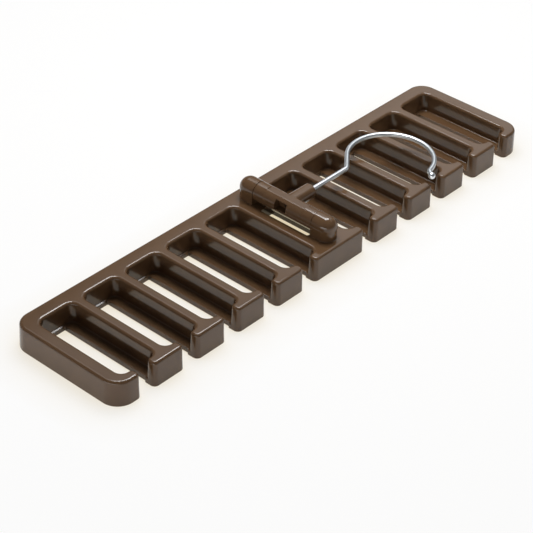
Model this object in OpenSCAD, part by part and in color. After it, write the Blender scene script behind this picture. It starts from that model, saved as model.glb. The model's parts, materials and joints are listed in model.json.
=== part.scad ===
// Tie hanger: a comb-shaped rack with open pockets and a wire hook that
// swivels in a tee-shaped pivot and folds flat over the rack.
// The origin is under the middle of the rack, on the surface it lies on.
// X runs along the rack, and the pockets open towards -Y.

/* [Rack] */
// Width of one pocket at the top face
pocket_w = 25.4; // [23:0.2:36]
// Length of a pocket from front to back at the top face
pocket_l = 63.8; // [56:0.1:90]
// Thickness of the rib between two pockets at the top face
rib_t = 6.65; // [4:0.05:9]
// Number of pockets on each side of the centre tooth
side_pockets = 5; // [4:1:7]
// Width of the centre tooth that carries the hinge
centre_w = 27.5; // [26:0.5:40]
// Width of the rim at each end of the rack
end_rim = 9.05; // [6:0.05:14]
// Width of the spine behind the pockets
spine_w = 10.15; // [7:0.05:16]
// Depth of the blocks that close the pockets in front
block_d = 6.35; // [5:0.05:9]
// Width of the mouth between two blocks at the top face
gap_w = 10.2; // [8:0.1:12]
// Height of the rack
rack_h = 15.5; // [13:0.5:22]
// Wall draft: how much a wall gains from the top face to the bottom
draft = 0.5; // [0.2:0.1:1.2]

/* [Floor of a pocket] */
// Height of the floor flange where it meets the rib
flange_h = 3.2; // [2:0.1:5]
// Fall of the flange from the rib to its free edge
flange_fall = 0.3; // [0.1:0.1:0.8]
// How far the floor slot is wider than the mouth, on each side
slot_step = 1.05; // [0.6:0.05:2]
// How far the floor slot ends before the pocket's back wall
slot_back = 1.1; // [0.2:0.1:3]

/* [Rounding] */
// Plan radius of the rack's four outer corners
corner_r = 10.5; // [7:0.5:14]
// Plan radius inside a pocket
pocket_r = 4.8; // [3:0.1:6]
// Plan radius of a block's corners
block_r = 2.6; // [2.1:0.1:3]
// Radius of the rounded top edges
top_r = 1.8; // [0.8:0.1:1.9]

/* [Centre tooth] */
// Width of the opening under the barrel
open_w = 13.6; // [10:0.2:18]
// Length of the opening
open_l = 36; // [20:0.5:38]
// Distance from the front post to the opening
open_edge = 1.2; // [0.5:0.1:5]
// Wall left round the hollow under the centre tooth
hollow_wall = 1.8; // [1.2:0.1:3]
// Height of the hollow
hollow_h = 8; // [4:0.5:9]
// Length of the hollow
hollow_l = 45.6; // [42:0.2:60]

/* [Hinge] */
// Height of the hinge axis above the top face
axis_rise = 7; // [6.8:0.1:14]
// Distance between the two posts
post_gap = 44.6; // [40:0.1:50]
// Straight length of a post before its domed end
post_l = 6.8; // [6.5:0.1:10]
// Radius of a post's round head
post_r = 6.4; // [5.5:0.1:7]
// How far the foot of a post is set in from its head
post_inset = 0.2; // [0.1:0.1:1]
// Radius of the pivot pins
pin_r = 2.5; // [1.5:0.1:3.2]
// Length of a pin inside its post
pin_l = 5; // [3:0.5:7]
// Radial running clearance of pins and wire
running = 0.07; // [0.03:0.01:0.1]
// End gap between the barrel and the posts
end_gap = 0.3; // [0.2:0.05:0.6]
// Radius of the barrel
barrel_r = 6.3; // [5.4:0.1:6.6]
// Height above the hinge axis of the flat along the top of the tee
flat_h = 5.9; // [5:0.1:6.2]
// Length of that flat between the barrel's two full round ends
flat_l = 28.8; // [20:0.2:36]
// Length of the stem from the hinge axis
stem_l = 19.8; // [14:0.2:34]
// Radius of the stem where it leaves the barrel
stem_root_r = 4.9; // [4:0.1:5.2]
// Radius of the stem at its end
stem_end_r = 4.7; // [3.4:0.1:5]
// Height of the wire above the hinge axis
wire_rise = 1.3; // [0:0.1:1.6]
// Width of the window in the barrel's back, behind the wire's head
window_w = 8.6; // [7:0.2:12]
// Height of the window
window_h = 6; // [5.6:0.1:7]
// Sideways shift of the window
window_y = 1; // [0:0.1:1.2]
// Depth of the window from the barrel's back
window_d = 5.2; // [3:0.1:6]
// Distance from the hinge axis to the seat of the wire's head
seat_x = 3.4; // [1.5:0.1:8]

/* [Hook] */
// Wire diameter
wire_d = 3; // [2:0.1:4]
// Diameter of the upset head that holds the wire
head_d = 5; // [4.4:0.1:5.4]
// Thickness of that head
head_t = 1.6; // [0.8:0.1:2.4]
// Straight length from the hinge axis to the first bend
shank_l = 51.4; // [35:0.2:70]
// Radius of the first bend
bend_r = 3.8; // [3:0.1:8]
// Angle of the first bend
bend_a = 39; // [25:1:60]
// Straight leg between the bend and the bow
leg_l = 13.2; // [4:0.2:25]
// Radius of the bow that goes over the rod
bow_r = 26.1; // [18:0.1:30]
// Sweep of the bow
bow_a = 206; // [150:1:225]
// Radius of the turned-out lip
lip_r = 4; // [3:0.1:8]
// Angle of the lip
lip_a = 42; // [20:1:70]
// Straight length of the lip up to the middle of its ball
lip_l = 3.6; // [2.2:0.1:10]
// Diameter of the ball on the wire's end
ball_d = 4.3; // [4.2:0.1:7]

/* [Hidden] */

pitch = pocket_w + rib_t;
half_l = centre_w / 2 + side_pockets * pocket_w + (side_pockets - 1) * rib_t + end_rim;
half_d = (block_d + pocket_l + spine_w) / 2;
front_y = -half_d;
inner_y = front_y + block_d;
back_y = inner_y + pocket_l;
axis_z = rack_h + axis_rise;
wire_z = axis_z + wire_rise;
barrel_cr = min(barrel_r, post_r - 0.05, axis_rise - 0.4);
wire_r = wire_d / 2;
block_cr = min(block_r, block_d / 2 - 0.1);
pocket_cr = min(pocket_r, (pocket_w - gap_w) / 2 - block_cr - 0.15);
barrel_l = post_gap - 2 * end_gap;
head_x = seat_x - 0.06;
lap = 0.1;
round_fn = 64;
wire_fn = 32;

// Middle of each pocket, from -X to +X
pocket_x = [
    for (side = [-1, 1], k = [0 : side_pockets - 1])
        side * (centre_w / 2 + pocket_w / 2 + pitch * (side < 0 ? side_pockets - 1 - k : k))
];

function arc_pts(cx, cy, r, a0, a1, n) =
    [for (i = [0 : n]) let (a = a0 + (a1 - a0) * i / n) [cx + r * cos(a), cy + r * sin(a)]];

// One pocket with its mouth, walked from the block on its left to the block
// on its right. grow is how much thicker the walls are than at the top face.
function pocket_pts(cx, w, g, rp, ri, rb, grow, short) = concat(
    arc_pts(cx - g - rb, front_y - grow + rb, rb, -90, 0, 3),
    arc_pts(cx - g - ri, inner_y + grow - ri, ri, 0, 90, 2),
    arc_pts(cx - w + rp, inner_y + grow + rp, rp, 270, 180, 5),
    arc_pts(cx - w + rp, back_y - grow - short - rp, rp, 180, 90, 5),
    arc_pts(cx + w - rp, back_y - grow - short - rp, rp, 90, 0, 5),
    arc_pts(cx + w - rp, inner_y + grow + rp, rp, 0, -90, 5),
    arc_pts(cx + g + ri, inner_y + grow - ri, ri, 90, 180, 2),
    arc_pts(cx + g + rb, front_y - grow + rb, rb, 180, 270, 3)
);

// Plan outline of the comb. At floor level the pockets narrow to slots.
function comb_outline(grow, floor_level) =
    let (
        g = gap_w / 2 - grow,
        w = floor_level ? g + slot_step : pocket_w / 2 - grow,
        rp = floor_level ? slot_step * 0.45 : pocket_cr - grow,
        ri = floor_level ? slot_step * 0.4 : block_cr + grow,
        rb = block_cr + grow,
        short = floor_level ? slot_back : 0,
        ro = corner_r + grow,
        ex = half_l + grow,
        ey = half_d + grow
    )
    concat(
        [for (cx = pocket_x) each pocket_pts(cx, w, g, rp, ri, rb, grow, short)],
        arc_pts(ex - ro, -ey + ro, ro, -90, 0, 8),
        arc_pts(ex - ro, ey - ro, ro, 0, 90, 8),
        arc_pts(-ex + ro, ey - ro, ro, 90, 180, 8),
        arc_pts(-ex + ro, -ey + ro, ro, 180, 270, 8)
    );

function grow_at(z) = draft * (1 - z / rack_h);

// Closed skin through rings of equal point count, given from the bottom up
module skin(rings) {
    n = len(rings[0]);
    m = len(rings);
    sides = [
        for (j = [0 : m - 2], i = [0 : n - 1])
            let (a = j * n + i, b = j * n + (i + 1) % n)
            each [[a, a + n, b], [b, a + n, b + n]]
    ];
    bottom = [for (i = [0 : n - 1]) i];
    top = [for (i = [n - 1 : -1 : 0]) (m - 1) * n + i];
    // A resize to nothing keeps the size and splits the flat ends into triangles
    resize([0, 0, 0])
        polyhedron(points = [for (r = rings) each r], faces = concat(sides, [bottom, top]));
}

function at_height(outline, z) = [for (p = outline) [p.x, p.y, z]];

module comb() {
    round_steps = 3;
    flat_z = rack_h - top_r;
    lip_z = flange_h - flange_fall;
    skin(concat(
        [at_height(comb_outline(grow_at(0), true), 0)],
        [at_height(comb_outline(grow_at(lip_z), true), lip_z)],
        [at_height(comb_outline(grow_at(flange_h), false), flange_h)],
        [at_height(comb_outline(grow_at(flat_z), false), flat_z)],
        [
            for (i = [1 : round_steps])
                let (
                    a = 90 * i / round_steps,
                    z = flat_z + top_r * sin(a),
                    grow = grow_at(z) - top_r * (1 - cos(a))
                )
                at_height(comb_outline(grow, false), z)
        ]
    ));
}

// Opening under the barrel and the hollow below it
module centre_cut() {
    hollow_w = centre_w + 2 * draft - 2 * hollow_wall;
    open_y = -post_gap / 2 + open_edge;
    translate([-open_w / 2, open_y, -1])
        cube([open_w, open_l, rack_h + 2]);
    linear_extrude(hollow_h, scale = [1 - 2 * draft / hollow_w, 1 - 2 * draft / hollow_l])
        square([hollow_w, hollow_l], center = true);
}

// Post at the back of the centre tooth, with a round head and a domed end
module post() {
    foot_r = post_r - post_inset;
    y0 = post_gap / 2;
    y1 = y0 + post_l;
    sink = 1;
    translate([0, 0, rack_h - sink])
        linear_extrude(axis_rise + sink)
            union() {
                translate([-foot_r, y0]) square([2 * foot_r, post_l]);
                translate([0, y1]) circle(foot_r, $fn = round_fn);
            }
    translate([0, y0, axis_z])
        rotate([-90, 0, 0]) cylinder(h = post_l, r = post_r, $fn = round_fn);
    translate([0, y1, axis_z]) sphere(post_r, $fn = round_fn);
}

module socket() {
    translate([0, post_gap / 2 - 1, axis_z])
        rotate([-90, 0, 0])
            cylinder(h = pin_l + end_gap + 1, r = pin_r + running, $fn = round_fn);
}

module rack() {
    color([0.32, 0.25, 0.2])
        difference() {
            union() {
                difference() {
                    comb();
                    centre_cut();
                }
                post();
                mirror([0, 1, 0]) post();
            }
            socket();
            mirror([0, 1, 0]) socket();
        }
}

module barrel() {
    rotate([-90, 0, 0])
        cylinder(h = barrel_l, r = barrel_cr, center = true, $fn = round_fn);
    for (side = [0, 1])
        mirror([0, side, 0])
            translate([0, barrel_l / 2 - 1, 0])
                rotate([-90, 0, 0])
                    cylinder(h = pin_l + 1, r = pin_r, $fn = round_fn);
}

module stem() {
    end_round = 0.8;
    straight_l = stem_l - end_round;
    rotate([0, 90, 0]) {
        cylinder(h = straight_l, r1 = stem_root_r, r2 = stem_end_r, $fn = round_fn);
        translate([0, 0, straight_l])
            cylinder(h = end_round, r1 = stem_end_r, r2 = stem_end_r - end_round, $fn = round_fn);
    }
}

// Bore of the wire, with the wider pocket that its head sits in
module wire_bore() {
    floor_x = window_d - barrel_cr;
    rotate([0, 90, 0]) {
        cylinder(h = stem_l + 1, r = wire_r + running, $fn = wire_fn);
        translate([0, 0, floor_x - 0.5])
            cylinder(h = seat_x - floor_x + 0.5, r = head_d / 2 + running, $fn = wire_fn);
    }
    translate([-barrel_cr - 1, window_y - window_w / 2, -window_h / 2])
        cube([window_d + 1, window_w, window_h]);
}

// Tee-shaped pivot: the barrel with its pins lies across the rack, and the
// wire turns in the stem
module pivot() {
    color([0.36, 0.28, 0.22])
        difference() {
            union() {
                translate([0, 0, axis_z]) barrel();
                translate([0, 0, wire_z]) stem();
            }
            translate([0, 0, wire_z]) wire_bore();
            translate([-barrel_r - 1, -flat_l / 2, axis_z + flat_h])
                cube([stem_l + barrel_r + 2, flat_l, barrel_r]);
        }
}

// A straight length laps into the bends at its ends
module straight(l) {
    translate([-lap, 0, 0])
        rotate([0, 90, 0]) cylinder(h = l + 2 * lap, r = wire_r, $fn = wire_fn);
}

// Bend to the left of the way the wire runs, a hair thinner than the laps
module bend(r, a) {
    translate([0, r, 0])
        rotate([0, 0, -90])
            rotate_extrude(angle = a, $fn = 96)
                translate([r, 0]) circle(wire_r - 0.01, $fn = wire_fn);
}

module past_straight(l) {
    translate([l, 0, 0]) children();
}

module past_bend(r, a) {
    translate([r * sin(a), r * (1 - cos(a)), 0]) rotate([0, 0, a]) children();
}

// Places its children where the bow ends, with the wire running along +X
module at_lip() {
    past_straight(shank_l) past_bend(bend_r, bend_a) past_straight(leg_l)
        mirror([0, 1, 0]) past_bend(bow_r, bow_a) mirror([0, 1, 0]) children();
}

module at_ball() {
    at_lip() past_bend(lip_r, lip_a) past_straight(lip_l) children();
}

module hook_wire() {
    color([0.8, 0.82, 0.85])
        translate([0, 0, wire_z]) {
            translate([head_x - head_t, 0, 0])
                rotate([0, 90, 0]) cylinder(h = head_t, r = head_d / 2, $fn = wire_fn);
            translate([head_x - head_t / 2, 0, 0]) straight(shank_l - head_x + head_t / 2);
            past_straight(shank_l) bend(bend_r, bend_a);
            past_straight(shank_l) past_bend(bend_r, bend_a) straight(leg_l);
            past_straight(shank_l) past_bend(bend_r, bend_a) past_straight(leg_l)
                mirror([0, 1, 0]) bend(bow_r, bow_a);
            at_lip() straight(0);
            at_lip() bend(lip_r, lip_a);
            at_lip() past_bend(lip_r, lip_a) straight(lip_l);
        }
}

module hook_tip() {
    color([0.8, 0.82, 0.85])
        translate([0, 0, wire_z])
            at_ball()
                difference() {
                    sphere(ball_d / 2, $fn = round_fn);
                    rotate([0, -90, 0])
                        translate([0, 0, -0.02])
                            cylinder(h = ball_d, r = wire_r + 0.02, $fn = wire_fn);
                }
}

rack();
pivot();
hook_wire();
hook_tip();
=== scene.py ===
import json
import math

import bmesh
import bpy
from mathutils import Matrix, Quaternion, Vector


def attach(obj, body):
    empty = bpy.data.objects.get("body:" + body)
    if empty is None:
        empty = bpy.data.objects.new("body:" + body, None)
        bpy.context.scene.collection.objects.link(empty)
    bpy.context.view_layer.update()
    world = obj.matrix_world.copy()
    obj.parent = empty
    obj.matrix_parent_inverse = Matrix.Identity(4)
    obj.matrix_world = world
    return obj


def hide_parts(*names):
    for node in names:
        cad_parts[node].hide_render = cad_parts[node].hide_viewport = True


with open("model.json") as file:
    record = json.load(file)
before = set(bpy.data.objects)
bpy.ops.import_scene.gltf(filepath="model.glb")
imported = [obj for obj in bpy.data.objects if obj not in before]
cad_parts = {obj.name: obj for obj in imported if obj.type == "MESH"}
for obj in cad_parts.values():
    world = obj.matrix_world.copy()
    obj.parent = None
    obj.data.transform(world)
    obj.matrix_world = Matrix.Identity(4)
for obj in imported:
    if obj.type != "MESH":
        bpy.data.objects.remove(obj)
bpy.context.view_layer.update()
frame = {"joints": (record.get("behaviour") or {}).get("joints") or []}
print("frame loaded")

# sizes that several pieces share, in millimetres
mm = 0.001
rackHeight = 15.5
wireRadius = 1.5
postGap = 44.6           # between the inner faces of the posts
barrelLength = 44.0
boreSides = 48
toolOverlap = 1.0        # how far a cutting tool stands out of what it cuts
flatFaceWeight = 60      # how much the large faces rule the shading


def jointPlace(name):
    # where a joint of the frame stands, in millimetres
    place = next(joint["pos_m"] for joint in frame["joints"] if joint["name"] == name)
    return [round(value / mm, 6) for value in place]


hingeZ = jointPlace("hook_fold")[2]
stemEndX, _, wireZ = jointPlace("hook_swivel")


def spread(start, end, steps):
    return [start + (end - start) * i / steps for i in range(steps + 1)]


def arcPoints(cx, cy, r, start, end, steps):
    # points on a flat arc, with its two angles in degrees
    angles = [math.radians(angle) for angle in spread(start, end, steps)]
    return [(cx + r * math.cos(a), cy + r * math.sin(a)) for a in angles]


def turnsOf(sides):
    return [2 * math.pi * i / sides for i in range(sides)]


def ringAlongX(x, r, sides):
    return [(x, r * math.cos(a), r * math.sin(a)) for a in turnsOf(sides)]


def ringAlongY(y, r, sides):
    return [(r * math.sin(a), y, r * math.cos(a)) for a in turnsOf(sides)]


def addRings(bm, rings, closed=True):
    # a skin over rings that all have the same number of points
    rows = [[bm.verts.new(p) for p in ring] for ring in rings]
    count = len(rows[0])
    for low, high in zip(rows, rows[1:]):
        for i in range(count if closed else count - 1):
            j = (i + 1) % count
            bm.faces.new((low[i], low[j], high[j], high[i]))
    return rows


def addSolid(bm, rings, closed=True):
    # the same skin with both ends filled
    rows = addRings(bm, rings, closed)
    bm.faces.new(rows[0])
    bm.faces.new(rows[-1])
    return rows


def makeObject(name, bm, lift=0.0):
    # a mesh made in millimetres becomes an object in metres
    bmesh.ops.recalc_face_normals(bm, faces=bm.faces)
    for v in bm.verts:
        v.co = Vector((v.co.x, v.co.y, v.co.z + lift)) * mm
    mesh = bpy.data.meshes.new(name)
    bm.to_mesh(mesh)
    bm.free()
    obj = bpy.data.objects.new(name, mesh)
    bpy.context.scene.collection.objects.link(obj)
    return obj


def ringSolid(name, rings, lift=0.0):
    bm = bmesh.new()
    addSolid(bm, rings)
    return makeObject(name, bm, lift)


def applyModifiers(obj):
    graph = bpy.context.evaluated_depsgraph_get()
    mesh = bpy.data.meshes.new_from_object(obj.evaluated_get(graph))
    obj.modifiers.clear()
    obj.data = mesh
    return obj


def turnOutward(obj):
    # normals go outward, and the print tells whether the skin is closed
    bm = bmesh.new()
    bm.from_mesh(obj.data)
    bmesh.ops.recalc_face_normals(bm, faces=bm.faces)
    bm.to_mesh(obj.data)
    openEdges = sum(1 for edge in bm.edges if not edge.is_manifold)
    print(obj.name, "open edges:", openEdges)
    bm.free()


def shadeSmooth(obj, sharpAngle):
    obj.data.shade_smooth()
    obj.data.set_sharp_from_angle(angle=math.radians(sharpAngle))
    weighted = obj.modifiers.new("weighted", "WEIGHTED_NORMAL")
    weighted.keep_sharp = True
    weighted.weight = flatFaceWeight
    return applyModifiers(obj)


def cutWith(obj, tool, operation):
    cut = obj.modifiers.new(operation.lower(), "BOOLEAN")
    cut.operation = operation
    cut.solver = "EXACT"
    cut.object = tool
    applyModifiers(obj)
    bpy.data.objects.remove(tool)
    return obj


# The looks: each varies a little in tone and roughness over the piece
plasticLook = {
    "dark": (0.111, 0.060, 0.029, 1), "light": (0.124, 0.068, 0.033, 1), "toneScale": 60.0,
    "roughness": (0.08, 0.12), "roughScale": 220.0,
    "bump": 0.02, "bumpScale": 700.0, "bumpDepth": 0.0002, "ior": 1.5,
}
pivotLook = dict(plasticLook, roughness=(0.14, 0.2), toneScale=90.0)
wireLook = {
    "dark": (0.74, 0.77, 0.79, 1), "light": (0.80, 0.83, 0.85, 1), "toneScale": 150.0,
    "roughness": (0.30, 0.38), "roughScale": 500.0,
}
noiseDetail = 3.0
rampEnds = (0.35, 0.65)


def noiseInto(tree, vector, scale):
    noise = tree.nodes.new("ShaderNodeTexNoise")
    noise.inputs["Scale"].default_value = scale
    noise.inputs["Detail"].default_value = noiseDetail
    tree.links.new(vector, noise.inputs["Vector"])
    return noise.outputs["Fac"]


def rampInto(tree, fac, colors, target):
    ramp = tree.nodes.new("ShaderNodeValToRGB")
    for element, position, color in zip(ramp.color_ramp.elements, rampEnds, colors):
        element.position = position
        element.color = color
    tree.links.new(fac, ramp.inputs["Fac"])
    tree.links.new(ramp.outputs["Color"], target)


def newMaterial(name, look):
    material = bpy.data.materials.new(name)
    material.use_nodes = True
    tree = material.node_tree
    shader = tree.nodes["Principled BSDF"]
    objectCoords = tree.nodes.new("ShaderNodeTexCoord").outputs["Object"]
    tone = noiseInto(tree, objectCoords, look["toneScale"])
    rampInto(tree, tone, (look["dark"], look["light"]), shader.inputs["Base Color"])
    rough = tree.nodes.new("ShaderNodeMapRange")
    rough.inputs["To Min"].default_value = look["roughness"][0]
    rough.inputs["To Max"].default_value = look["roughness"][1]
    tree.links.new(noiseInto(tree, objectCoords, look["roughScale"]), rough.inputs["Value"])
    tree.links.new(rough.outputs["Result"], shader.inputs["Roughness"])
    return material, tree, shader, objectCoords


def plasticMaterial(name, look):
    material, tree, shader, objectCoords = newMaterial(name, look)
    bump = tree.nodes.new("ShaderNodeBump")
    bump.inputs["Strength"].default_value = look["bump"]
    bump.inputs["Distance"].default_value = look["bumpDepth"]
    tree.links.new(noiseInto(tree, objectCoords, look["bumpScale"]), bump.inputs["Height"])
    tree.links.new(bump.outputs["Normal"], shader.inputs["Normal"])
    shader.inputs["IOR"].default_value = look["ior"]
    return material


def metalMaterial(name, look):
    material, _, shader, _ = newMaterial(name, look)
    shader.inputs["Metallic"].default_value = 1.0
    return material


rackPlastic = plasticMaterial("rackPlastic", plasticLook)
pivotPlastic = plasticMaterial("pivotPlastic", pivotLook)
brightWire = metalMaterial("brightWire", wireLook)
print("materials made")

# The comb: one pocket, a centre tooth and two end pockets meet at the middle of
# the ribs, and Geometry Nodes sets the pocket out along the rack. Sizes are at the
# top of the rack, and the draft makes every solid part thicker towards the bottom.
comb = {
    "pitch": 32.05, "pocketsPerSide": 5, "firstPocket": 26.45, "halfLength": 176.4,
    "frontY": -40.15, "innerY": -33.8, "wallY": 30.0, "backY": 40.15, "draft": 0.5,
    "gapHalf": 5.1, "pocketHalf": 12.7, "pocketRadius": 4.9, "radiusSlack": 0.05,
    "blockRadius": 2.6, "cornerRadius": 10.5, "topRadius": 1.8,
    "slotStep": 1.05, "slotBack": 1.1, "slotRadius": 0.4725, "slotMouthRadius": 0.42,
    # height, and how far the small radius of the lower edge stands in
    "lowerEdge": ((0.0, 0.3), (0.12, 0.08), (0.35, 0.0)),
    # height, and share of the way from the floor slot to the full pocket: the wall of
    # the slot, its soft edge, the sloping flange and the fillet under the pocket's wall
    "flange": ((2.55, 0.0), (2.78, 0.012), (2.9, 0.045), (3.17, 0.88), (3.25, 0.935),
               (3.42, 0.972), (3.68, 0.993), (4.1, 1.0)),
    "topSteps": 8, "blockSteps": 8, "mouthSteps": 7, "pocketSteps": 12, "cornerSteps": 20,
    "weldDistance": 0.004, "sharpAngle": 35,
}


def combLevels():
    # for each level of the skin: height, growth of the solid parts, opening of the floor
    height, r = rackHeight, comb["topRadius"]

    def grow(z):
        return comb["draft"] * (1 - z / height)

    levels = [(z, grow(z) - inset, 0.0) for z, inset in comb["lowerEdge"]]
    levels += [(z, grow(z), opened) for z, opened in comb["flange"]]
    for angle in spread(0, 90, comb["topSteps"]):
        a = math.radians(angle)
        z = height - r + r * math.sin(a)
        levels.append((z, grow(z) - r * (1 - math.cos(a)), 1.0))
    return levels


def pocketOutline(gap, half, cornerRadius, mouthRadius, blockRadius, grow, short=0.0):
    # from the front of the left block, round the pocket, to the front of the right block
    front, inner = comb["frontY"] - grow, comb["innerY"] + grow
    wall, side = comb["wallY"] - grow - short, half - cornerRadius
    low, high = inner + cornerRadius, wall - cornerRadius
    blockX, blockY = gap + blockRadius, front + blockRadius
    mouthX, mouthY = gap + mouthRadius, inner - mouthRadius
    blockSteps, mouthSteps, steps = comb["blockSteps"], comb["mouthSteps"], comb["pocketSteps"]
    return (
        arcPoints(-blockX, blockY, blockRadius, -90, 0, blockSteps)
        + arcPoints(-mouthX, mouthY, mouthRadius, 0, 90, mouthSteps)
        + arcPoints(-side, low, cornerRadius, 270, 180, steps)
        + arcPoints(-side, high, cornerRadius, 180, 90, steps)
        + arcPoints(side, high, cornerRadius, 90, 0, steps)
        + arcPoints(side, low, cornerRadius, 0, -90, steps)
        + arcPoints(mouthX, mouthY, mouthRadius, 90, 180, mouthSteps)
        + arcPoints(blockX, blockY, blockRadius, 180, 270, blockSteps)
    )


def pocketRing(z, grow, opened):
    # the outline at one level, between the floor slot and the full pocket
    gap, block = comb["gapHalf"] - grow, comb["blockRadius"] + grow
    slotShape = pocketOutline(gap, gap + comb["slotStep"], comb["slotRadius"], comb["slotMouthRadius"],
                              block, grow, comb["slotBack"])
    pocketRadius = comb["pocketRadius"] - grow - comb["radiusSlack"]
    fullShape = pocketOutline(gap, comb["pocketHalf"] - grow, pocketRadius, block, block, grow)
    middle = [(a[0] + (b[0] - a[0]) * opened, a[1] + (b[1] - a[1]) * opened)
              for a, b in zip(slotShape, fullShape)]
    half, front = comb["pitch"] / 2, comb["frontY"] - grow
    return [(x, y, z) for x, y in [(-half, front)] + middle + [(half, front)]]


def straightRings(levels, half, y, outward):
    # a flat front or back, leaning with the draft
    return [[(-half, y + outward * grow, z), (half, y + outward * grow, z)] for z, grow, _ in levels]


def addCell(bm, frontRings, backRings):
    # the front and back skins of a cell, with its top and underside between them
    fronts = addRings(bm, frontRings, closed=False)
    backs = addRings(bm, backRings, closed=False)
    bm.faces.new(fronts[-1] + backs[-1][::-1])
    bm.faces.new(fronts[0] + backs[0][::-1])


def pocketCell():
    bm = bmesh.new()
    levels = combLevels()
    addCell(bm, [pocketRing(*level) for level in levels],
            straightRings(levels, comb["pitch"] / 2, comb["backY"], 1))
    return bm


def centreCell(bm):
    levels = combLevels()
    half = comb["firstPocket"] - comb["pitch"] / 2
    addCell(bm, straightRings(levels, half, comb["frontY"], -1),
            straightRings(levels, half, comb["backY"], 1))


def endCell(bm, side):
    # the last pocket and the rounded end of the rack, in one piece
    half, steps = comb["pitch"] / 2, comb["cornerSteps"]
    middle = comb["firstPocket"] + comb["pitch"] * (comb["pocketsPerSide"] - 1)
    rings = []
    for z, grow, opened in combLevels():
        endX, r = comb["halfLength"] + grow, comb["cornerRadius"] + grow
        front, back = comb["frontY"] - grow, comb["backY"] + grow
        outline = [(x + middle, y) for x, y, _ in pocketRing(z, grow, opened)[:-1]]
        outline += arcPoints(endX - r, front + r, r, -90, 0, steps)
        outline += arcPoints(endX - r, back - r, r, 0, 90, steps)
        outline.append((middle - half, back))
        rings.append([(side * x, y, z) for x, y in outline])
    addSolid(bm, rings, closed=False)


def fixedCells():
    bm = bmesh.new()
    centreCell(bm)
    endCell(bm, 1)
    endCell(bm, -1)
    return bm


# The centre tooth is hollow from below, and an opening leads into the hollow
hollow = {
    "half": 12.45, "halfY": 22.8, "height": 8.0, "radius": 1.5,
    "shoulder": 0.5, "shoulderInset": 0.45, "shoulderRadius": 1.2,    # where the roof's fillet starts
    "roofInset": 0.9, "roofRadius": 0.9,
}
opening = {
    "half": 6.8, "frontY": -21.1, "backY": 14.9, "radius": 1.0,
    "edge": ((0.0, 0.4), (0.04, 0.2), (0.14, 0.08), (0.4, 0.0)),    # out of the wall, under the top
}


def roundedBox(half, y0, y1, r, z, steps=6):
    side, front, back = half - r, y0 + r, y1 - r
    corners = arcPoints(side, front, r, -90, 0, steps) + arcPoints(side, back, r, 0, 90, steps)
    corners += arcPoints(-side, back, r, 90, 180, steps) + arcPoints(-side, front, r, 180, 270, steps)
    return [(x, y, z) for x, y in corners]


def hollowTool():
    height = hollow["height"]
    rows = [
        (0.0, -toolOverlap, hollow["radius"]), (0.0, 0.0, hollow["radius"]),
        (hollow["shoulderInset"], height - hollow["shoulder"], hollow["shoulderRadius"]),
        (hollow["roofInset"], height, hollow["roofRadius"]),
    ]
    half, halfY = hollow["half"], hollow["halfY"]
    rings = [roundedBox(half - inset, inset - halfY, halfY - inset, r, z) for inset, z, r in rows]
    return ringSolid("hollowTool", rings)


def openingTool():
    rows = [(0.0, hollow["height"] - toolOverlap)]
    rows += [(out, rackHeight - down) for out, down in opening["edge"]]
    rows.append((opening["edge"][-1][0], rackHeight + toolOverlap))
    rings = [roundedBox(opening["half"] + out, opening["frontY"] - out, opening["backY"] + out,
                        opening["radius"] + out, z) for out, z in rows]
    return ringSolid("openingTool", rings)


def layOutTree():
    # joins the fixed cells with rows of pocket cells to both sides, and welds the seams
    tree = bpy.data.node_groups.new("layOutPockets", "GeometryNodeTree")
    face = tree.interface
    for label, kind in (
        ("Fixed pieces", "Geometry"), ("Pocket", "Object"), ("Repeats per side", "Int"), ("Pitch", "Float"),
        ("First pocket", "Float"), ("Weld distance", "Float"), ("Material", "Material"),
    ):
        face.new_socket(label, in_out="INPUT", socket_type="NodeSocket" + kind)
    face.new_socket("Comb", in_out="OUTPUT", socket_type="NodeSocketGeometry")
    node, link = tree.nodes.new, tree.links.new
    given, result = node("NodeGroupInput"), node("NodeGroupOutput")
    source = node("GeometryNodeObjectInfo")
    link(given.outputs["Pocket"], source.inputs["Object"])
    join = node("GeometryNodeJoinGeometry")
    for side in (1, -1):
        line = node("GeometryNodeMeshLine")
        link(given.outputs["Repeats per side"], line.inputs["Count"])
        for value, target in (("First pocket", "Start Location"), ("Pitch", "Offset")):
            turned = node("ShaderNodeMath")
            turned.operation = "MULTIPLY"
            turned.inputs[1].default_value = side
            link(given.outputs[value], turned.inputs[0])
            place = node("ShaderNodeCombineXYZ")
            link(turned.outputs[0], place.inputs["X"])
            link(place.outputs[0], line.inputs[target])
        rowOfCells = node("GeometryNodeInstanceOnPoints")
        link(line.outputs["Mesh"], rowOfCells.inputs["Points"])
        link(source.outputs["Geometry"], rowOfCells.inputs["Instance"])
        link(rowOfCells.outputs["Instances"], join.inputs["Geometry"])
    link(given.outputs["Fixed pieces"], join.inputs["Geometry"])
    real = node("GeometryNodeRealizeInstances")
    weld = node("GeometryNodeMergeByDistance")
    paint = node("GeometryNodeSetMaterial")
    link(join.outputs["Geometry"], real.inputs["Geometry"])
    link(real.outputs["Geometry"], weld.inputs["Geometry"])
    link(given.outputs["Weld distance"], weld.inputs["Distance"])
    link(weld.outputs["Geometry"], paint.inputs["Geometry"])
    link(given.outputs["Material"], paint.inputs["Material"])
    link(paint.outputs["Geometry"], result.inputs["Comb"])
    return tree


def setInputs(modifier, values):
    for item in modifier.node_group.interface.items_tree:
        if item.in_out == "INPUT" and item.name in values:
            modifier[item.identifier] = values[item.name]


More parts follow.
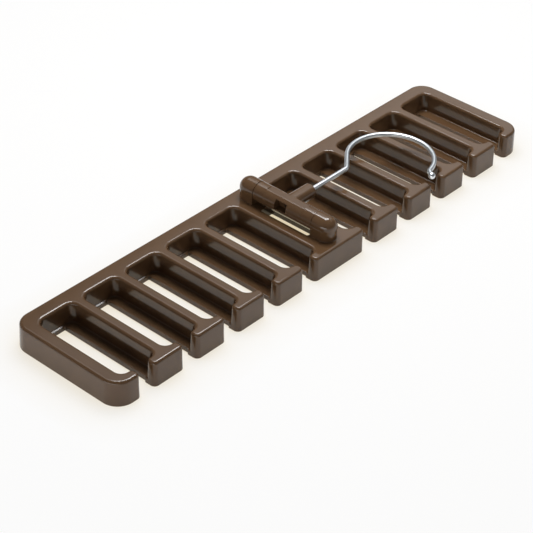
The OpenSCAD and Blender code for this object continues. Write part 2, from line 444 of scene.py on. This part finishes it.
def buildComb():
    cell = makeObject("pocketCell", pocketCell())
    obj = makeObject("rackBody", fixedCells())
    layOut = obj.modifiers.new("layOut", "NODES")
    layOut.node_group = layOutTree()
    setInputs(layOut, {
        "Pocket": cell, "Repeats per side": comb["pocketsPerSide"] - 1, "Pitch": comb["pitch"] * mm,
        "First pocket": comb["firstPocket"] * mm, "Weld distance": comb["weldDistance"] * mm,
        "Material": rackPlastic,
    })
    applyModifiers(obj)
    bpy.data.objects.remove(cell)
    turnOutward(obj)
    cutWith(obj, hollowTool(), "DIFFERENCE")
    cutWith(obj, openingTool(), "DIFFERENCE")
    turnOutward(obj)
    # the cut faces come without a material, so the whole body goes back to one slot
    obj.data.materials.clear()
    obj.data.materials.append(rackPlastic)
    obj.data.polygons.foreach_set("material_index", [0] * len(obj.data.polygons))
    return shadeSmooth(obj, comb["sharpAngle"])


rackBody = buildComb()
print("comb made", len(rackBody.data.polygons))

# A post: round head with a domed end on a slightly narrower pedestal
post = {
    "length": 6.8, "headRadius": 6.4, "footRadius": 6.2, "flare": 0.3, "sink": 0.6,
    "socketRadius": 2.57, "socketDepth": 5.3,
    "topAngle": 89.0,       # where the rows over the head end, just short of its top
    "flareSteps": 5, "headSteps": 28, "domeSteps": 28, "sharpAngle": 28,
}


def postLevels():
    # height and half width: into the rack, up the flared foot, then over the round head
    r, foot, flare = post["headRadius"], post["footRadius"], post["flare"]
    levels = [(rackHeight - post["sink"], foot + flare)]
    for angle in spread(0, 90, post["flareSteps"]):
        a = math.radians(angle)
        levels.append((rackHeight + flare * (1 - math.cos(a)), foot + flare * (1 - math.sin(a))))
    lowAngle = -math.asin(math.sqrt(r * r - foot * foot) / r)
    for a in spread(lowAngle, math.radians(post["topAngle"]), post["headSteps"]):
        levels.append((hingeZ + r * math.sin(a), r * math.cos(a)))
    return levels


def edgesRound(bm, verts):
    return [bm.edges.get(pair) or bm.edges.new(pair) for pair in zip(verts, verts[1:] + verts[:1])]


def buildPost(name, side):
    bm = bmesh.new()
    innerY, domeY = postGap / 2, postGap / 2 + post["length"]
    rings = []
    for z, w in postLevels():
        outline = [(w, innerY)] + arcPoints(0, domeY, w, 0, 180, post["domeSteps"]) + [(-w, innerY)]
        rings.append([(x, y, z) for x, y in outline])
    rows = addSolid(bm, rings, closed=False)
    innerEdge = [row[0] for row in rows] + [row[-1] for row in rows][::-1]
    socket = ringAlongY(innerY, post["socketRadius"], boreSides)
    mouth = [bm.verts.new((x, y, z + hingeZ)) for x, y, z in socket]
    bottom = [bm.verts.new((v.co.x, innerY + post["socketDepth"], v.co.z)) for v in mouth]
    for i in range(boreSides):
        j = (i + 1) % boreSides
        bm.faces.new((mouth[i], mouth[j], bottom[j], bottom[i]))
    bm.faces.new(bottom)
    # the flat inner face, with the socket for the pin left open
    edges = edgesRound(bm, innerEdge) + edgesRound(bm, mouth)
    bmesh.ops.triangle_fill(bm, edges=edges, use_beauty=True, normal=(0, -1, 0))
    for v in bm.verts:
        v.co.y *= side
    obj = makeObject(name, bm)
    obj.data.materials.append(rackPlastic)
    return shadeSmooth(obj, post["sharpAngle"])


backPost = buildPost("backPost", 1)
frontPost = buildPost("frontPost", -1)
print("posts made")

# The pivot: a barrel on two pins, joined by the stem, with one flat along the top
# of both. The wire's head sits in a pocket behind the window of the barrel.
pivot = {
    "barrelRadius": 6.3, "pinRadius": 2.5, "pinLength": 5.0, "edge": 0.3,
    # share of the edge's size along the barrel and into it
    "edgeCurve": ((1.0, 0.0), (0.3, 0.1), (0.05, 0.4), (0.0, 1.0)),
    "flatHeight": 5.9, "flatLength": 28.8, "flatStep": 0.02, "flatShoulder": 0.1, "flatSoftness": 0.05,
    "stemRoot": 4.9, "stemEnd": 4.7, "stemDrop": 0.02, "endRound": 0.8, "endSteps": 6,
    "bore": 1.57, "boreEnd": 30.0, "headBore": 2.57, "seat": 3.4,
    "windowWidth": 8.6, "windowHeight": 6.0, "windowY": 1.0, "windowDepth": 5.2,
    "windowOutside": -8.0, "windowOverlap": 0.5,
    # angles round a section: close together by the two edges of the flat, wider elsewhere
    "closeReach": 4, "closeSteps": 10, "flatSteps": 6, "roundSteps": 52, "sharpAngle": 30,
}


def turnsRound(corner):
    reach, close = pivot["closeReach"], pivot["closeSteps"]
    right, left = corner, 180 - corner
    turns = spread(right - reach, right + reach, close)
    turns += spread(right + reach, left - reach, pivot["flatSteps"])[1:-1]
    turns += spread(left - reach, left + reach, close)
    turns += spread(left + reach, right - reach + 360, pivot["roundSteps"])[1:-1]
    return [math.radians(turn) for turn in turns]


def levelled(turns, r, level):
    # a round section, its top levelled off with softened edges where there is a level
    soft = pivot["flatSoftness"]
    section = []
    for turn in turns:
        side, up = r * math.cos(turn), r * math.sin(turn)
        if level is not None:
            up = min(up, level) - soft * math.log(1 + math.exp(-abs(up - level) / soft))
        section.append((side, up))
    return section


def barrelRings():
    half, edge, r, level = barrelLength / 2, pivot["edge"], pivot["barrelRadius"], pivot["flatHeight"]
    pin, pinEnd, flatEnd = pivot["pinRadius"], half + pivot["pinLength"], pivot["flatLength"] / 2
    shoulder = pivot["flatShoulder"]
    # from the middle of the barrel out to the end of the pin: place, radius and flat
    side = [(flatEnd - pivot["flatStep"], r, level)]
    side += [(flatEnd, r - shoulder, None), (flatEnd + shoulder, r, None)]
    side += [(half - edge * along, r - edge * inward, None) for along, inward in pivot["edgeCurve"]]
    side += [(half, pin, None), (pinEnd - edge, pin, None), (pinEnd, pin - edge, None)]
    turns = turnsRound(math.degrees(math.asin(level / r)))
    rows = [(-y, radius, top) for y, radius, top in side[::-1]] + side
    return [[(x, y, z) for x, z in levelled(turns, radius, top)] for y, radius, top in rows]


def stemRings():
    root, end, edge = pivot["stemRoot"], pivot["stemEnd"], pivot["endRound"]
    start = stemEndX - edge
    level = pivot["flatHeight"] + hingeZ - wireZ - pivot["stemDrop"]
    rows = [(0.0, root, level)]
    for angle in spread(0, 90, pivot["endSteps"]):
        a = math.radians(angle)
        drop = edge * (1 - math.cos(a))
        rows.append((start + edge * math.sin(a), end - drop, level - drop))
    turns = turnsRound(math.degrees(math.asin(level * 2 / (root + end))))
    return [[(x, -y, z) for y, z in levelled(turns, radius, top)] for x, radius, top in rows]


def boreTool():
    # the wire's bore through stem and barrel, wider where the head turns
    start = pivot["windowDepth"] - pivot["barrelRadius"] - pivot["windowOverlap"]
    rows = [(start, pivot["headBore"]), (pivot["seat"], pivot["headBore"]),
            (pivot["seat"], pivot["bore"]), (pivot["boreEnd"], pivot["bore"])]
    return ringSolid("boreTool", [ringAlongX(x, r, boreSides) for x, r in rows], wireZ)


def windowTool():
    # a plain box, as deep into the barrel as the window
    wide, high, middle = pivot["windowWidth"] / 2, pivot["windowHeight"] / 2, pivot["windowY"]
    low = (pivot["windowOutside"], middle - wide, wireZ - high)
    top = (pivot["windowDepth"] - pivot["barrelRadius"], middle + wide, wireZ + high)
    bm = bmesh.new()
    bmesh.ops.create_cube(bm, size=1)
    for v in bm.verts:
        v.co = Vector([a + (b - a) * (c + 0.5) for a, b, c in zip(low, top, v.co)])
    return makeObject("windowTool", bm)


def buildPivot():
    obj = ringSolid("pivotTee", barrelRings(), hingeZ)
    cutWith(obj, ringSolid("stem", stemRings(), wireZ), "UNION")
    cutWith(obj, boreTool(), "DIFFERENCE")
    cutWith(obj, windowTool(), "DIFFERENCE")
    obj.data.materials.append(pivotPlastic)
    return shadeSmooth(obj, pivot["sharpAngle"])


pivotTee = buildPivot()
print("pivot made")

# The hook: one wire with an upset head, bent flat, and a ball on its end
hook = {
    "shank": 51.4, "bendRadius": 3.8, "bendAngle": 39.0, "leg": 13.2,
    "bowRadius": 26.1, "bowAngle": 206.0, "lipRadius": 4.0, "lipAngle": 42.0, "lip": 3.6,
    "ballRadius": 2.15, "ballStart": 0.9, "ballTopAngle": 88,
    # how far back from its seat each row of the head lies, and its radius
    "head": ((1.6, 1.7), (1.5, 2.1), (1.3, 2.35), (1.0, 2.48),
             (0.65, 2.5), (0.3, 2.46), (0.1, 2.3), (0.0, 2.0)),
    "headGap": 0.06, "neck": 0.1,
    "sides": 32, "shankSteps": 20, "bendSteps": 10, "legSteps": 6, "bowSteps": 90, "lipSteps": 4,
    "ballSides": 40, "ballSteps": 18, "sharpAngle": 50,
}


def wirePath():
    # place and heading along the wire, in the plane of the hook
    x, y, heading = pivot["seat"] + hook["neck"], 0.0, 0.0
    path = [(x, y, heading)]

    def straight(length, steps):
        nonlocal x, y
        for _ in range(steps):
            x += math.cos(heading) * length / steps
            y += math.sin(heading) * length / steps
            path.append((x, y, heading))

    def bend(radius, angle, turn, steps):
        nonlocal x, y, heading
        cx, cy = x - turn * radius * math.sin(heading), y + turn * radius * math.cos(heading)
        for _ in range(steps):
            heading += turn * math.radians(angle) / steps
            x, y = cx + turn * radius * math.sin(heading), cy - turn * radius * math.cos(heading)
            path.append((x, y, heading))

    straight(hook["shank"] - x, hook["shankSteps"])
    bend(hook["bendRadius"], hook["bendAngle"], 1, hook["bendSteps"])
    straight(hook["leg"], hook["legSteps"])
    bend(hook["bowRadius"], hook["bowAngle"], -1, hook["bowSteps"])
    bend(hook["lipRadius"], hook["lipAngle"], 1, hook["bendSteps"])
    straight(hook["lip"], hook["lipSteps"])
    return path


def ringOnPath(x, y, heading, r, sides):
    ring = []
    for a in turnsOf(sides):
        across = r * math.cos(a)
        ring.append((x - across * math.sin(heading), y + across * math.cos(heading), r * math.sin(a)))
    return ring


def buildWire():
    seat, sides = pivot["seat"] - hook["headGap"], hook["sides"]
    rings = [ringOnPath(seat - back, 0, 0, r, sides) for back, r in hook["head"]]
    rings.append(ringOnPath(seat, 0, 0, wireRadius, sides))
    rings += [ringOnPath(x, y, heading, wireRadius, sides) for x, y, heading in wirePath()]
    obj = ringSolid("hookWire", rings, wireZ)
    obj.data.materials.append(brightWire)
    return shadeSmooth(obj, hook["sharpAngle"])


def buildBall():
    x, y, heading = wirePath()[-1]
    r = hook["ballRadius"]
    start = -math.sqrt(r * r - wireRadius * wireRadius)    # where the ball has the wire's radius
    startAngle = math.degrees(math.asin(start / r))
    profile = [(start, hook["ballStart"])]
    for angle in spread(startAngle, hook["ballTopAngle"], hook["ballSteps"]):
        a = math.radians(angle)
        profile.append((r * math.sin(a), r * math.cos(a)))
    rings = [ringOnPath(x + along * math.cos(heading), y + along * math.sin(heading), heading, radius,
                        hook["ballSides"]) for along, radius in profile]
    obj = ringSolid("hookBall", rings, wireZ)
    obj.data.materials.append(brightWire)
    return shadeSmooth(obj, hook["sharpAngle"])


hookWire = buildWire()
hookBall = buildBall()
print("hook made")

for piece, body, slotName in (
    (rackBody, "rack", "rack"), (backPost, "rack", "rack"), (frontPost, "rack", "rack"),
    (pivotTee, "pivot", "pivot"), (hookWire, "hook", "wire"), (hookBall, "hook", "tip"),
):
    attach(piece, body)
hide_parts("rack")
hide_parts("pivot")
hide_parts("hook_wire")
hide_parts("hook_tip")

# The floor looks white to the camera and in reflections, and still takes a soft shadow.
# All sizes and places of the stage are in metres.
stage = {
    "floorSize": 6.0, "floorZ": -0.00002, "floorTone": (0.88, 0.86, 0.82, 1), "floorRoughness": 0.9,
    "whiteShare": 0.9, "white": (1, 1, 1, 1),
    # the colour below is painted shade with a painted warm bounce: the darker cream the floor glows with
    # close under the rack
    "paintedUnderShade": (0.80, 0.68, 0.46, 1), "underReach": 0.03, "underSamples": 8,
    "world": (0.93, 0.96, 1.0, 1), "worldStrength": 0.12,
}
warmWhite = (1, 0.98, 0.95)
lamps = {
    "key": {
        "size": (0.36, 0.24), "power": 3.35, "color": (0.99, 0.99, 1),
        "at": (0.16, 0.12, 0.56), "to": (0.05, 0, 0), "turn": 0,
    },
    "frontEdge": {
        "size": (0.62, 0.2), "power": 0.4, "color": warmWhite,
        "at": (0.62, -0.16, 0.75), "to": (0.02, 0, 0), "turn": 0,
    },
    "ribEdge": {
        "size": (0.6, 0.35), "power": 0.9, "color": warmWhite,
        "at": (0.38, 0.76, 1.15), "to": (0, 0, 0), "turn": 0,
    },
    "leftFill": {
        "size": (0.8, 0.12), "power": 0.95, "color": warmWhite,
        "at": (-0.62, -0.12, 0.08), "to": (-0.1, 0, 0.01), "turn": 0,
    },
    "softBack": {
        "size": (2.0, 1.36), "power": 5.2, "color": (0.93, 0.98, 1),
        "at": (1.2, 0.5, 1.15), "to": (1.2, 0.5, 0), "turn": 6,
    },
    "softRight": {
        "size": (1.1, 1.3), "power": 1.5, "color": (0.88, 0.96, 1),
        "at": (1.9, 0.7, 1.3), "to": (1.9, 0.7, 0), "turn": 6,
    },
}


def floorMaterial():
    material = bpy.data.materials.new("floorPaper")
    material.use_nodes = True
    tree = material.node_tree
    shader, output = tree.nodes["Principled BSDF"], tree.nodes["Material Output"]
    shader.inputs["Base Color"].default_value = stage["floorTone"]
    shader.inputs["Roughness"].default_value = stage["floorRoughness"]
    shader.inputs["Specular IOR Level"].default_value = 0.0
    paper = tree.nodes.new("ShaderNodeEmission")
    # painted shade: close under the rack, where the ambient occlusion finds cover, the paper's glow turns
    # to a darker cream with a painted warm bounce of the plastic, which shows through the slots
    covered = tree.nodes.new("ShaderNodeAmbientOcclusion")
    covered.samples = stage["underSamples"]
    covered.inputs["Distance"].default_value = stage["underReach"]
    tint = tree.nodes.new("ShaderNodeMix")
    tint.data_type = "RGBA"
    factor, under, clear = tint.inputs[0], tint.inputs[6], tint.inputs[7]    # the RGBA sockets
    under.default_value = stage["paintedUnderShade"]
    clear.default_value = stage["white"]
    tree.links.new(covered.outputs["AO"], factor)
    tree.links.new(tint.outputs[2], paper.inputs["Color"])
    # the glow is for what the camera sees, directly or in a reflection, and lights nothing
    path = tree.nodes.new("ShaderNodeLightPath")
    seen = path.outputs["Is Camera Ray"]
    for label in ("Is Glossy Ray", "Is Transmission Ray"):
        either = tree.nodes.new("ShaderNodeMath")
        either.operation = "MAXIMUM"
        tree.links.new(seen, either.inputs[0])
        tree.links.new(path.outputs[label], either.inputs[1])
        seen = either.outputs[0]
    share = tree.nodes.new("ShaderNodeMath")
    share.operation = "MULTIPLY"
    share.inputs[1].default_value = stage["whiteShare"]
    mix = tree.nodes.new("ShaderNodeMixShader")
    tree.links.new(seen, share.inputs[0])
    tree.links.new(share.outputs[0], mix.inputs["Fac"])
    tree.links.new(shader.outputs["BSDF"], mix.inputs[1])
    tree.links.new(paper.outputs["Emission"], mix.inputs[2])
    tree.links.new(mix.outputs["Shader"], output.inputs["Surface"])
    return material


def buildFloor():
    bm = bmesh.new()
    half, z = stage["floorSize"] / 2, stage["floorZ"]
    corners = ((-half, -half), (half, -half), (half, half), (-half, half))
    bm.faces.new([bm.verts.new((x, y, z)) for x, y in corners])
    mesh = bpy.data.meshes.new("floor")
    bm.to_mesh(mesh)
    bm.free()
    mesh.materials.append(floorMaterial())
    obj = bpy.data.objects.new("floor", mesh)
    bpy.context.scene.collection.objects.link(obj)


def buildWorld():
    world = bpy.data.worlds.new("studio")
    bpy.context.scene.world = world
    world.use_nodes = True
    background = world.node_tree.nodes["Background"]
    background.inputs["Color"].default_value = stage["world"]
    background.inputs["Strength"].default_value = stage["worldStrength"]


def addLight(name, look):
    data = bpy.data.lights.new(name, "AREA")
    data.shape = "RECTANGLE"
    data.size, data.size_y = look["size"]
    data.energy = look["power"]
    data.color = look["color"]
    obj = bpy.data.objects.new(name, data)
    obj.location = look["at"]
    toward = Vector(look["to"]) - Vector(look["at"])
    ownTurn = Quaternion((0, 0, 1), math.radians(look["turn"]))
    obj.rotation_mode = "QUATERNION"
    obj.rotation_quaternion = toward.to_track_quat("-Z", "Y") @ ownTurn
    bpy.context.scene.collection.objects.link(obj)


buildFloor()
buildWorld()
for lampName, lampLook in lamps.items():
    addLight(lampName, lampLook)

# The camera, fitted to the photograph: degrees, millimetres, and pixels for the focal length
shot = {
    "azimuth": -49.36205, "elevation": 36.0244, "roll": 2.0589,
    "distance": 1053.9335, "shiftRight": -11.3172, "shiftUp": -16.0737, "aimX": -1.032, "aimY": -0.4,
    "focalPixels": 1809.949, "imagePixels": 533.0, "sensor": 36.0, "near": 0.05, "far": 50.0,
}


def buildCamera():
    az, el, roll = [math.radians(shot[name]) for name in ("azimuth", "elevation", "roll")]
    back = Vector((math.sin(az) * math.cos(el), -math.cos(az) * math.cos(el), math.sin(el)))
    right = Vector((math.cos(az), math.sin(az), 0))
    up = back.cross(right)
    right, up = right * math.cos(roll) + up * math.sin(roll), up * math.cos(roll) - right * math.sin(roll)
    place = right * shot["shiftRight"] + up * shot["shiftUp"] + back * shot["distance"]
    place = (place + Vector((shot["aimX"], shot["aimY"], 0))) * mm
    data = bpy.data.cameras.new("shot")
    data.sensor_width = shot["sensor"]
    data.lens = shot["focalPixels"] / shot["imagePixels"] * shot["sensor"]
    data.clip_start, data.clip_end = shot["near"], shot["far"]
    obj = bpy.data.objects.new("shot", data)
    obj.matrix_world = Matrix((
        (right.x, up.x, back.x, place.x), (right.y, up.y, back.y, place.y),
        (right.z, up.z, back.z, place.z), (0, 0, 0, 1),
    ))
    bpy.context.scene.collection.objects.link(obj)
    bpy.context.scene.camera = obj


buildCamera()
bpy.context.scene.view_settings.view_transform = "Standard"
print("stage, light and camera made")
